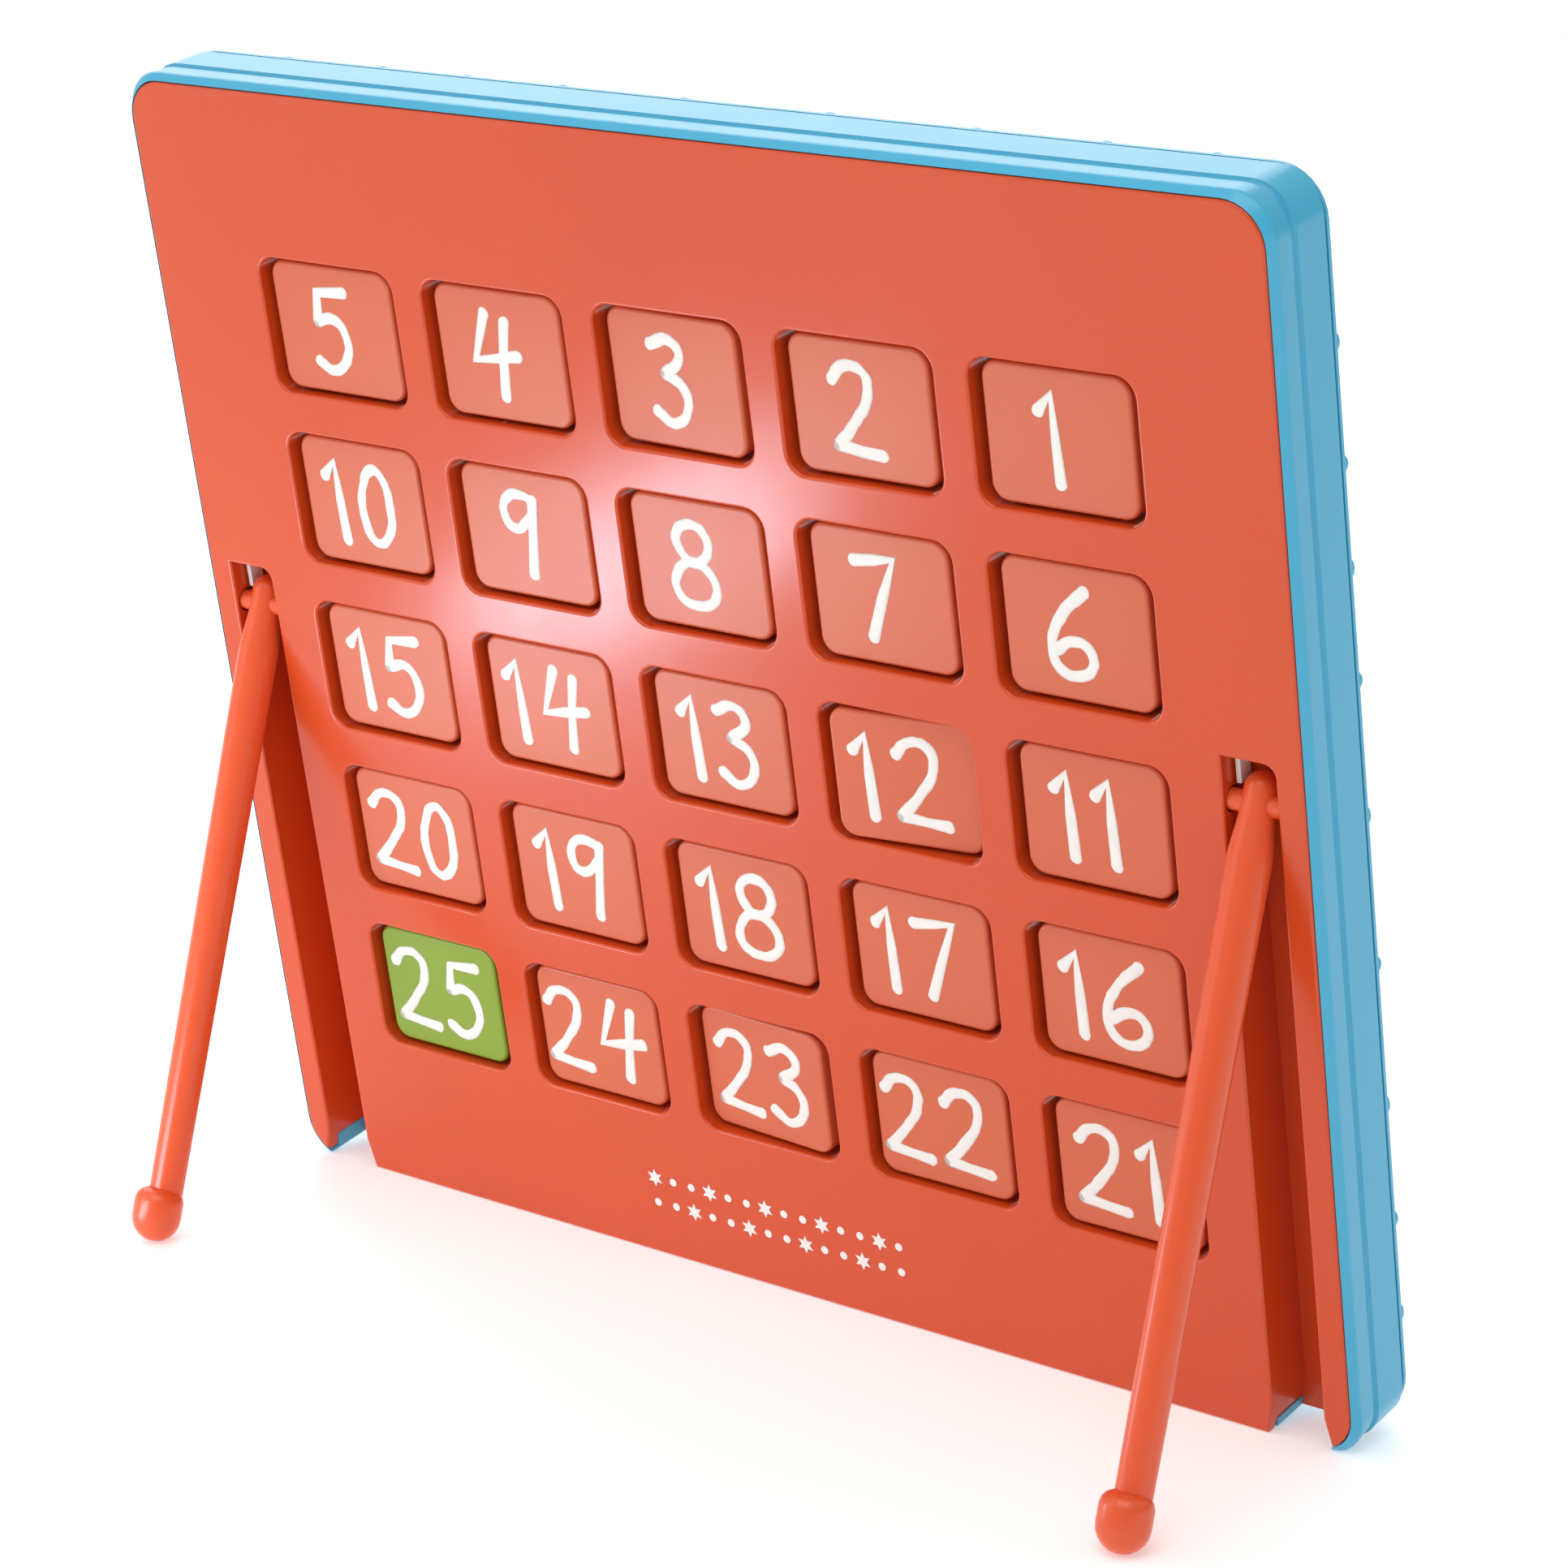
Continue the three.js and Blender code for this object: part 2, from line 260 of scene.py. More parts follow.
def choose(piece, kind, wanted):
    """Selects the faces or edges that wanted() picks. The piece is in edit mode."""
    bpy.ops.mesh.select_mode(type=kind)
    bpy.ops.mesh.select_all(action="DESELECT")
    mesh = bmesh.from_edit_mesh(piece.data)
    for element in list(mesh.faces if kind == "FACE" else mesh.edges):
        if wanted(element):
            element.select_set(True)
    bmesh.update_edit_mesh(piece.data)


def runs_along(axis):
    def picks(edge):
        start, end = (vertex.co for vertex in edge.verts)
        return abs((end - start).normalized()[axis]) > 0.99
    return picks


def block(name, width, height, rear, front, x=0, z=0, radius=0, steps=ROUND_STEPS):
    """A box between two depths behind the rear face, with its upright corners rounded."""
    bpy.ops.object.select_all(action="DESELECT")
    bpy.ops.mesh.primitive_cube_add(size=1)
    piece = new_piece(name)
    bpy.ops.object.mode_set(mode="EDIT")
    bpy.ops.mesh.select_all(action="SELECT")
    bpy.ops.transform.resize(value=(width * MM, (front - rear) * MM, height * MM))
    bpy.ops.transform.translate(value=(x * MM, -(front + rear) / 2 * MM, z * MM))
    if radius:
        choose(piece, "EDGE", runs_along(1))
        bpy.ops.mesh.bevel(offset=radius * MM, segments=steps, affect="EDGES", clamp_overlap=False)
    bpy.ops.object.mode_set(mode="OBJECT")
    return piece


def rod(name, radius, length, axis, x, depth, z, sides=24):
    """A round bar through a point, lying along X or standing along Z."""
    bpy.ops.object.select_all(action="DESELECT")
    turn = (0, pi / 2, 0) if axis == "X" else (0, 0, 0)
    bpy.ops.mesh.primitive_cylinder_add(
        vertices=sides, radius=radius * MM, depth=length * MM, rotation=turn,
        location=(x * MM, -depth * MM, z * MM))
    bpy.ops.object.transform_apply(location=True, rotation=True, scale=True)
    return new_piece(name)


def join(pieces, name=None):
    work_on(pieces[0])
    for piece in pieces:
        piece.select_set(True)
    if len(pieces) > 1:
        bpy.ops.object.join()
    if name:
        new_piece(name)
    return pieces[0]


def shape_by(piece, other, operation):
    """Cuts the other shape out of a piece, or fuses it on, and uses it up."""
    work_on(piece)
    change = piece.modifiers.new("shape", "BOOLEAN")
    change.object = other
    change.operation = operation
    change.solver = "EXACT"
    change.use_self = True
    bpy.ops.object.modifier_apply(modifier=change.name)
    bpy.data.objects.remove(other)
    return piece


def channel(name, x, grow, rear, front, below=PAST):
    """The long slot for a leg: one rounded top corner and a flared mouth."""
    width = CHANNEL["width"] + 2 * grow
    top = CHANNEL["top"] + grow
    slot = block(name, width, top - BOTTOM + below, rear, front, x, (top + BOTTOM - below) / 2)
    work_on(slot)
    bpy.ops.object.mode_set(mode="EDIT")
    at_corner = Vector(((x - width / 2) * MM, 0, top * MM))
    choose(slot, "EDGE", lambda edge: runs_along(1)(edge)
           and hypot(edge.verts[0].co.x - at_corner.x, edge.verts[0].co.z - at_corner.z) < MM)
    bpy.ops.mesh.bevel(offset=CHANNEL["corner"] * MM, segments=6, affect="EDGES")
    bpy.ops.object.mode_set(mode="OBJECT")
    wide = width + 2 * MOUTH["flare"]
    mouth = block(name + "_mouth", wide, MOUTH["length"] + below, rear, front, x,
                  BOTTOM + (MOUTH["length"] - below) / 2)
    narrow = width / wide
    for vertex in mouth.data.vertices:
        if vertex.co.z > BOTTOM * MM:
            vertex.co.x = x * MM + (vertex.co.x - x * MM) * narrow
    return shape_by(slot, mouth, "UNION")


def stand_flush(piece):
    """Cuts off what would hang below the foot of the rear moulding."""
    under = block("under", PLATE["width"] + 10, 10, -PAST, 20, 0, BOTTOM - 5)
    return shape_by(piece, under, "DIFFERENCE")


def window_places():
    for row in range(GRID):
        for column in range(GRID):
            yield ((column - (GRID - 1) / 2) * PITCH_X, ((GRID - 1) / 2 - row) * PITCH_Z)


def window_cutters(rear, front, grow=0):
    return join([
        block("window", WINDOW["width"] + 2 * grow, WINDOW["height"] + 2 * grow, rear, front,
              x, z, WINDOW["radius"] + grow)
        for x, z in window_places()])


def pin_seats():
    length = WINDOW["height"] + 2 * PIN_SEAT["grip"]
    return join([rod("seat", PIN_SEAT["radius"], length, "Z", x, PIN_DEPTH, z)
                 for x, z in window_places()])


def soften(piece, wanted, width, steps=3):
    """Rounds over the sharp edges that wanted() picks."""
    work_on(piece)
    bpy.ops.object.mode_set(mode="EDIT")
    bpy.ops.mesh.select_all(action="SELECT")
    bpy.ops.mesh.remove_doubles(threshold=0.002 * MM)
    bpy.ops.mesh.dissolve_limited(angle_limit=radians(0.5))
    choose(piece, "EDGE", lambda edge: len(edge.link_faces) == 2
           and edge.calc_face_angle(0) > radians(40) and wanted(edge))
    bpy.ops.mesh.bevel(offset=width * MM, segments=steps, affect="EDGES", clamp_overlap=True)
    bpy.ops.object.mode_set(mode="OBJECT")


def on_depth(depth):
    """Picks the edges that lie at one depth behind the rear face."""
    return lambda edge: all(abs(vertex.co.y + depth * MM) < 0.01 * MM for vertex in edge.verts)


def polish(piece, angle=35):
    """Smooth shading that keeps flat faces flat."""
    work_on(piece)
    bpy.ops.object.shade_smooth_by_angle(angle=radians(angle))
    weights = piece.modifiers.new("weights", "WEIGHTED_NORMAL")
    weights.keep_sharp = True
    bpy.ops.object.modifier_apply(modifier=weights.name)
    return piece


def moulded_plastic(name, deep, pale, roughness, grain=0.5):
    """Glossy moulded plastic: faint flow clouds, fine grain, rubbed spots and dust."""
    finish = Finish(name, IOR=1.5)
    flow = finish.mottle(22, 3, (1, 1, 0.45))
    finish_color = finish.blend(flow, deep, pale)
    cells = {"Vector": finish.place, "Scale": 170.0, "Randomness": 1.0}
    distance = finish.node("ShaderNodeTexVoronoi", {"feature": "F1"}, cells, "Distance")
    chance = finish.node("ShaderNodeTexVoronoi", {"feature": "F1"}, cells, "Color")
    specks = distance.under(0.06) * chance.over(0.86)
    dust = tuple(min(1, channel_value * 0.6 + 0.32) for channel_value in pale[:3])
    finish.feed("Base Color", finish.blend(specks * 0.55, finish_color, color(*dust)))
    rub = finish.mottle(90, 4, (1, 1, 0.3), 0.6)
    finish.feed("Roughness", roughness - 0.05 + rub * 0.1 + specks * 0.3)
    skin = finish.mottle(1400, 1)
    wave = finish.mottle(60, 1)
    finish.dimple(skin * 0.006 + wave * 0.1 + specks * 0.05, grain * MM)
    return finish.material


red_plastic = moulded_plastic("red_plastic", color(0.60, 0.060, 0.009),
                              color(0.66, 0.072, 0.013), 0.2)

leg_places = (-CHANNEL["x"], CHANNEL["x"])
rear_moulding = block("rear_moulding", PLATE["width"], PLATE["height"], 0, PLATE["sheet"],
                      radius=PLATE["radius"])
core = block("core", PLATE["width"] - 2 * STEP, PLATE["height"] - 2 * STEP, PLATE["sheet"] / 2,
             PLATE["depth"], radius=PLATE["radius"] - STEP)
shape_by(rear_moulding, core, "UNION")
for x in leg_places:
    trough_height = CHANNEL["top"] + CHANNEL["wall"] - BOTTOM
    trough = block("trough", CHANNEL["width"] + 2 * CHANNEL["wall"], trough_height,
                   PLATE["sheet"] / 2, TROUGH, x, CHANNEL["top"] + CHANNEL["wall"] - trough_height / 2)
    shape_by(rear_moulding, trough, "UNION")
for x in leg_places:
    slot = channel("channel", x, 0, -PAST, CHANNEL["depth"])
    head = block("head", 2 * CHANNEL["width"], 2 * (CHANNEL["top"] - HEAD["bottom"]), HEAD["depth"],
                 CHANNEL["depth"] + 1, x, CHANNEL["top"])
    shape_by(rear_moulding, shape_by(slot, head, "DIFFERENCE"), "DIFFERENCE")
    seat = rod("seat", PIVOT["radius"], 2 * PIVOT["reach"], "X", x, PIVOT["depth"], PIVOT["z"])
    shape_by(rear_moulding, seat, "DIFFERENCE")
shape_by(rear_moulding, window_cutters(-PAST, TROUGH + PAST), "DIFFERENCE")
shape_by(rear_moulding, pin_seats(), "DIFFERENCE")
soften(rear_moulding, on_depth(0), LIP)
rear_moulding.data.materials.append(red_plastic)
polish(lean(rear_moulding))
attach(rear_moulding, "panel")
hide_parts("rear_plate")


# The twenty-five tiles: solid little blocks with round corners and softened edges, each
# turning on two stub pins. The last one is green. A few stand slightly off square.
TILE = {"width": 19.8, "height": 16.7, "radius": 2.2, "thickness": 7.4, "edge": 0.5}
STUB = {"radius": 1, "length": 2}
TURNED = {3: -2, 12: 6, 23: -3.5}
green_plastic = moulded_plastic("green_plastic", color(0.19, 0.31, 0.010),
                                color(0.23, 0.35, 0.018), 0.34)
tile_plastic = moulded_plastic("tile_plastic", color(0.59, 0.108, 0.040),
                              color(0.67, 0.134, 0.054), 0.36)

first_tile = block("tile", TILE["width"], TILE["height"], -TILE["thickness"] / 2,
                   TILE["thickness"] / 2, radius=TILE["radius"])
soften(first_tile, lambda edge: not runs_along(1)(edge), TILE["edge"], 4)
stub = rod("stub", STUB["radius"], TILE["height"] + 2 * STUB["length"], "Z", 0, 0, 0)
shape_by(first_tile, stub, "UNION")


def tile_place(number):
    """Where a tile's middle is, how it leans, and how far it is turned."""
    middle = Matrix.Translation(Vector(joints[f"turn_{number:02d}"]["pos_m"]))
    return middle @ TIP @ Matrix.Rotation(radians(TURNED.get(number, 0)), 4, "Z")


def own_copy(piece, name):
    """A copy with its own mesh."""
    made = piece.copy()
    made.data = piece.data.copy()
    made.name = name
    made.data.name = name
    bpy.context.collection.objects.link(made)
    return made


numbers = range(1, GRID * GRID + 1)
for number in numbers:
    tile = own_copy(first_tile, f"flip_tile_{number:02d}")
    tile.data.transform(tile_place(number))
    is_last = number == GRID * GRID
    tile.data.materials.append(green_plastic if is_last else tile_plastic)
    polish(tile)
    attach(tile, f"tile_{number:02d}")
    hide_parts(f"tile_{number:02d}")
bpy.data.objects.remove(first_tile)


# White numbers on the back of the tiles, put on with a round brush: one raised line of ink
# for each stroke, a little thicker at its ends. The edges are slightly ragged, and seeded so
# that they come out the same each time.
INK = {"radius": 0.77, "rise": 0.11, "ragged": 0.13}
DIGIT_GAP = 2.5
NUMBER_SHIFT = -0.9
# Each digit is a few brush strokes in millimetres about its middle, read from behind.
# "line" runs straight from point to point, "curve" runs smoothly, "loop" closes.
STROKES = {
    "0": [("loop", [(0.2, 5.0), (-1.8, 2.4), (-2.3, -1.8), (-0.6, -4.9), (1.6, -3.6), (2.4, 0.4),
                    (1.8, 3.8)])],
    "1": [("line", [(-1.6, 3.2), (0.2, 5.2), (0.4, 0.2), (0.6, -5.2)])],
    "2": [("curve", [(-2.9, 3.4), (-1.2, 5.1), (1.6, 4.6), (2.0, 2.2), (-0.4, -1.8), (-2.9, -4.6)]),
          ("line", [(-2.9, -4.6), (0.4, -5.0), (3.2, -5.2)])],
    "3": [("curve", [(-2.4, 4.3), (0.4, 5.2), (2.0, 3.4), (-0.4, 0.9)]),
          ("curve", [(-0.4, 0.9), (2.1, -0.6), (2.4, -3.2), (0.1, -5.2), (-2.4, -4.0)])],
    "4": [("line", [(-1.1, 5.1), (-3.3, -0.9), (0.0, -0.4), (3.4, 0.2)]),
          ("line", [(2.0, 4.3), (1.2, 0.0), (0.7, -5.2)])],
    "5": [("line", [(2.8, 5.1), (-1.6, 4.7), (-2.1, 1.0)]),
          ("curve", [(-2.1, 1.0), (0.8, 1.4), (2.4, -0.9), (1.7, -3.9), (-0.6, -5.3), (-2.8, -4.3)])],
    "6": [("curve", [(2.2, 5.2), (-0.9, 2.2), (-2.7, -1.7), (-1.9, -4.5), (0.6, -5.2), (2.7, -3.6),
                     (2.2, -1.5), (0.2, -1.0), (-2.0, -2.2)])],
    "7": [("line", [(-2.8, 4.3), (0.0, 4.7), (2.9, 5.1), (0.9, 0.2), (-1.0, -5.1)])],
    "8": [("loop", [(0.2, 5.2), (-2.2, 3.7), (-1.7, 1.4), (0.1, 0.3), (2.2, 1.6), (2.3, 3.9)]),
          ("loop", [(-0.2, 0.3), (-2.7, -1.4), (-2.9, -3.9), (-0.4, -5.3), (2.6, -4.1), (2.8, -1.6)])],
    "9": [("loop", [(0.9, 5.1), (-1.6, 4.6), (-2.4, 2.3), (-1.1, 0.6), (1.0, 1.6), (2.3, 4.2)]),
          ("line", [(2.4, 4.6), (1.8, 0.0), (1.1, -5.2)])],
}

white_print = Finish("white_print", Roughness=0.5)
patchy = white_print.mottle(700, 3)
thin_ink, thick_ink = color(0.78, 0.75, 0.70), color(0.9, 0.88, 0.84)
white_print.feed("Base Color", white_print.blend(patchy, thin_ink, thick_ink))
white_print.dimple(white_print.mottle(2500, 2), 0.03 * MM)


def stroke(kind, points, middle):
    """One line of ink as a round tube along its points, with a ball at each end."""
    bpy.ops.object.select_all(action="DESELECT")
    bpy.ops.curve.primitive_bezier_curve_add()
    line = bpy.context.object
    path = line.data.splines[0]
    path.bezier_points.add(len(points) - 2)
    path.use_cyclic_u = kind == "loop"
    places = [Vector((-(across + middle) * MM, 0, up * MM)) for across, up in points]
    ends = () if kind == "loop" else (places[0], places[-1])
    for index, (bend, place) in enumerate(zip(path.bezier_points, places)):
        bend.co = place
        bend.handle_left_type = bend.handle_right_type = "VECTOR" if kind == "line" else "AUTO"
        bend.radius = 1.1 if place in ends else 0.94 + 0.08 * sin(2.6 * index + middle)
    line.data.resolution_u = 10
    line.data.bevel_depth = INK["radius"] * MM
    line.data.bevel_resolution = 3
    line.data.use_fill_caps = False
    bpy.ops.object.convert(target="MESH")
    parts = [bpy.context.object]
    for place in ends:
        bpy.ops.mesh.primitive_uv_sphere_add(segments=16, ring_count=8,
                                             radius=1.08 * INK["radius"] * MM, location=place)
        bpy.ops.object.transform_apply(location=True, rotation=True, scale=True)
        parts.append(bpy.context.object)
    return join(parts)


def half_width(digit):
    return max(abs(across) for _, points in STROKES[digit] for across, _ in points)


def ink_number(number):
    """The strokes of a whole number, fused and pressed flat."""
    digits = str(number)
    middles = [NUMBER_SHIFT]
    if len(digits) == 2:
        first, second = (half_width(digit) for digit in digits)
        middles = [NUMBER_SHIFT - second - DIGIT_GAP / 2, NUMBER_SHIFT + first + DIGIT_GAP / 2]
    strokes = [stroke(kind, points, middle)
               for digit, middle in zip(digits, middles)
               for kind, points in STROKES[digit]]
    ink = join(strokes, f"number_{number:02d}")
    flat = INK["rise"] / INK["radius"]
    for vertex in ink.data.vertices:
        drift = noise.noise_vector(vertex.co / (1.1 * MM) + Vector((number * 7.1, 0, 0)))
        vertex.co.x += drift.x * INK["ragged"] * MM
        vertex.co.z += drift.z * INK["ragged"] * MM
        vertex.co.y = vertex.co.y * flat + TILE["thickness"] / 2 * MM
    return ink


noise.seed_set(1)
for number in numbers:
    ink = ink_number(number)
    ink.data.transform(tile_place(number))
    ink.data.materials.append(white_print.material)
    work_on(ink)
    bpy.ops.object.shade_smooth()
    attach(ink, f"tile_{number:02d}")


# The blue band round the sides, moulded in two halves that meet in a fine groove. Its rear
# edge is chamfered beside the red moulding, and it opens at the foot for the legs.
FRAME = {"edge": 0.9, "depth": 10.6, "groove": 0.35, "half_groove": 0.3, "draft": 0.2,
         "seam": 0.12}
MOUTH_REACH = 5
blue_plastic = moulded_plastic("blue_plastic", color(0.045, 0.39, 0.60),
                               color(0.060, 0.43, 0.66), 0.28, grain=0.15)


def sweep(name, width, height, radius, section):
    """Runs a closed section of (depth, outward) steps round a rounded rectangle."""
    bpy.ops.object.select_all(action="DESELECT")
    bpy.ops.mesh.primitive_plane_add(size=1, rotation=(pi / 2, 0, 0))
    bpy.ops.object.transform_apply(location=True, rotation=True, scale=True)
    piece = new_piece(name)
    depth, out = section[0]
    size = Vector((width + 2 * out, 1, height + 2 * out))
    bpy.ops.object.mode_set(mode="EDIT")
    bpy.ops.mesh.select_all(action="SELECT")
    bpy.ops.transform.resize(value=size * MM)
    bpy.ops.transform.translate(value=(0, -depth * MM, 0))
    bpy.ops.mesh.bevel(offset=(radius + out) * MM, segments=ROUND_STEPS, affect="VERTICES",
                       clamp_overlap=False)
    bpy.ops.mesh.select_all(action="SELECT")
    bpy.ops.mesh.delete(type="ONLY_FACE")
    bpy.ops.mesh.select_all(action="SELECT")
    for next_depth, next_out in section[1:] + section[:1]:
        bpy.ops.mesh.extrude_edges_move()
        bpy.ops.transform.translate(value=(0, (depth - next_depth) * MM, 0))
        next_size = Vector((width + 2 * next_out, 1, height + 2 * next_out))
        bpy.ops.transform.resize(value=(next_size.x / size.x, 1, next_size.z / size.z))
        depth, size = next_depth, next_size
    bpy.ops.mesh.select_all(action="SELECT")
    bpy.ops.mesh.remove_doubles(threshold=0.005 * MM)
    bpy.ops.mesh.normals_make_consistent(inside=False)
    bpy.ops.object.mode_set(mode="OBJECT")
    return piece


def quarter(depth, out, reach, steps):
    """The outer front corner of a section, as a quarter round."""
    turns = [radians(90 + 90 * step / steps) for step in range(steps + 1)]
    return [(depth - reach * cos(turn), out + reach * sin(turn)) for turn in turns]


edge, groove = FRAME["edge"], FRAME["groove"]
seam_start, seam_end = PIN_DEPTH - FRAME["half_groove"], PIN_DEPTH + FRAME["half_groove"]
seam_soft = 0.15
front_soft = 0.3
side_section = [
    (PLATE["sheet"] + GAP, FRAME["seam"]), (seam_soft, FRAME["seam"]),
    (seam_soft + 0.95 * edge, 0.85 * edge), (seam_soft + 1.35 * edge, edge),
    (seam_start - seam_soft, edge - FRAME["draft"]), (seam_start, edge - FRAME["draft"] - groove),
    (seam_end, edge - groove),
    (seam_end + seam_soft, edge),
    *quarter(FRAME["depth"] - front_soft, edge - front_soft, front_soft, 3),
    (FRAME["depth"], GAP - STEP), (PLATE["sheet"] + GAP, GAP - STEP)]
side_band = sweep("side_band", PLATE["width"], PLATE["height"], PLATE["radius"], side_section)
for x in leg_places:
    shape_by(side_band, channel("mouth", x, 0, -PAST, TROUGH + GAP, MOUTH_REACH), "DIFFERENCE")
stand_flush(side_band)
side_band.data.materials.append(blue_plastic)
polish(lean(side_band), 50)
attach(side_band, "panel")
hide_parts("side_frame")


# The blue grid between the red back and the picture. The tiles' pins turn in half-round
# seats between the two, and it makes room behind for the leg channels.
grid = block("grid_moulding", PLATE["width"] - 2 * STEP, PLATE["height"] - 2 * STEP,
             PLATE["depth"] + GAP, FRAME["depth"], radius=PLATE["radius"] - STEP)
shape_by(grid, window_cutters(0, 2 * FRAME["depth"]), "DIFFERENCE")
shape_by(grid, pin_seats(), "DIFFERENCE")
for x in leg_places:
    high = CHANNEL["top"] + CHANNEL["wall"] + GAP
    pocket = block("pocket", CHANNEL["width"] + 2 * (CHANNEL["wall"] + GAP),
                   high - BOTTOM + MOUTH_REACH, PLATE["depth"], TROUGH + GAP, x,
                   (high + BOTTOM - MOUTH_REACH) / 2)
    shape_by(grid, pocket, "DIFFERENCE")
    shape_by(grid, channel("mouth", x, 0, -PAST, TROUGH + GAP, MOUTH_REACH), "DIFFERENCE")
grid.data.materials.append(blue_plastic)
polish(lean(grid))
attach(grid, "panel")
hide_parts("window_grid")


# The picture panel at the front: a thin blue sheet with softened windows, little domes along
# its rim, white snowflakes standing out of it and a bank of white snow along its foot.
PANEL = {"thickness": 0.8, "inset": 0.1, "relief": 1.4}
panel_back = FRAME["depth"] + GAP
panel_face = panel_back + PANEL["thickness"]
panel_grow = FRAME["edge"] - PANEL["inset"]
picture = block("picture_panel", PLATE["width"] + 2 * panel_grow, PLATE["height"] + 2 * panel_grow,
                panel_back, panel_face, radius=PLATE["radius"] + panel_grow)
shape_by(picture, window_cutters(0, 2 * FRAME["depth"]), "DIFFERENCE")
stand_flush(picture)
soften(picture, on_depth(panel_face), 0.35)


def dome(x, z, radius, height):
    """A low round drop standing out of the picture panel."""
    bpy.ops.object.select_all(action="DESELECT")
    bpy.ops.mesh.primitive_uv_sphere_add(segments=20, ring_count=10, radius=1)
    bpy.ops.transform.resize(value=(radius * MM, height * MM, radius * MM))
    bpy.ops.transform.translate(value=(x * MM, -(panel_face - 0.05) * MM, z * MM))
    bpy.ops.object.transform_apply(location=True, rotation=True, scale=True)
    return new_piece("dome")


rim_x = PLATE["width"] / 2 + panel_grow
rim_z = PLATE["height"] / 2 + panel_grow
drops = []
for along in range(9):
    drift = sin(5.3 * along)
    size = 1.5 + 0.25 * cos(3.1 * along)
    at = (along - 4) * 17.5 + 4 * drift
    for side in (-1, 1):
        drops.append(dome(side * (rim_x - size), at * 0.88 + side, size, PANEL["relief"]))
    drops.append(dome(at, rim_z - size, size, PANEL["relief"]))
picture = join([picture] + drops, "picture_panel")
picture.data.materials.append(blue_plastic)
polish(lean(picture))
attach(picture, "panel")
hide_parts("front_panel")


def push_out(piece, wanted, length, narrow=1.0):
    """Extrudes the chosen faces one by one along their own normals."""
    choose(piece, "FACE", wanted)
    bpy.ops.mesh.extrude_faces_move(TRANSFORM_OT_shrink_fatten={"value": length * MM})
    if narrow != 1:
        bpy.ops.transform.resize(value=(1, narrow, 1))


def snowflake(name, radius, height):
    """A six-armed flake with a pair of twigs on each arm, from a twelve-sided hub."""
    bpy.ops.object.select_all(action="DESELECT")
    hub = radius * 0.24
    bpy.ops.mesh.primitive_cylinder_add(vertices=12, radius=hub * MM, depth=height * MM,
                                        rotation=(pi / 2, 0, 0))
    bpy.ops.object.transform_apply(location=True, rotation=True, scale=True)
    flake = new_piece(name)

    def outward(face):
        way = Vector((face.normal.x, 0, face.normal.z))
        middle = face.calc_center_median()
        return way.length > 0.9 and way.dot(Vector((middle.x, 0, middle.z)).normalized()) > 0.99

    def on_arm(face):
        turn = atan2(face.normal.z, face.normal.x) / (pi / 3) - 0.25
        return outward(face) and abs(turn - round(turn)) < 0.05

    bpy.ops.object.mode_set(mode="EDIT")
    push_out(flake, on_arm, radius * 0.3)
    push_out(flake, on_arm, radius * 0.14)
    push_out(flake, on_arm, radius * 0.34)

    def twig(face):
        middle = face.calc_center_median()
        reach = hypot(middle.x, middle.z) / MM
        sideways = not outward(face) and abs(face.normal.y) < 0.1
        return sideways and radius * 0.5 < reach < radius * 0.66

    push_out(flake, twig, radius * 0.2)
    choose(flake, "EDGE", lambda edge: edge.calc_face_angle(0) > radians(60)
           and all(vertex.co.y < 0 for vertex in edge.verts))
    bpy.ops.mesh.bevel(offset=min(0.02 * radius, 0.25) * MM, segments=2, affect="EDGES")
    bpy.ops.object.mode_set(mode="OBJECT")
    return flake


def shift(piece, x, depth, z):
    piece.data.transform(Matrix.Translation(Vector((x, -depth, z)) * MM))
    return piece


flakes = [(side * 74.5, 50 - 28 * row, 4.6 if row % 2 else 7)
          for side in (-1, 1) for row in range(4)]
flakes += [(-58, 66, 5), (-31, 66, 8), (0, 66, 5.5), (28, 66, 7.5), (56, 66, 5)]
relief = PANEL["relief"]
snow = [shift(snowflake("flake", radius, relief), x, panel_face + relief / 2, z)
        for x, z, radius in flakes]
raised_flakes = join(snow, "raised_snowflakes")

half, low = PLATE["width"] / 2 - 3, BOTTOM + 2
bank = block("snow_bank", 2 * half, 16, panel_face, panel_face + relief, 0, low + 8)
bpy.ops.object.mode_set(mode="EDIT")
choose(bank, "EDGE", runs_along(0))
bpy.ops.mesh.subdivide(number_cuts=48)
bpy.ops.object.mode_set(mode="OBJECT")
for vertex in bank.data.vertices:
    if vertex.co.z > (low + 15) * MM:
        across = vertex.co.x / (half * MM)
        vertex.co.z = (low + 14 + 2.4 * cos(4.2 * across + 0.8) + 0.8 * sin(11 * across)) * MM
clear = join([block("clear", WINDOW["width"] + 1.6, WINDOW["height"] + 1.6, panel_back,
                    panel_face + 2 * relief, x, z, WINDOW["radius"] + 0.8)
              for x, z in window_places() if z < -PITCH_Z])
shape_by(bank, clear, "DIFFERENCE")
soften(bank, on_depth(panel_face + relief), 0.4)
for piece in (raised_flakes, bank):
    piece.data.materials.append(white_print.material)
    polish(lean(piece))
    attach(piece, "panel")


# Small white pictures on the fronts of the tiles: a star, a tree, a bauble and a flake in
# turn, printed slightly raised.
PRINT = 0.12


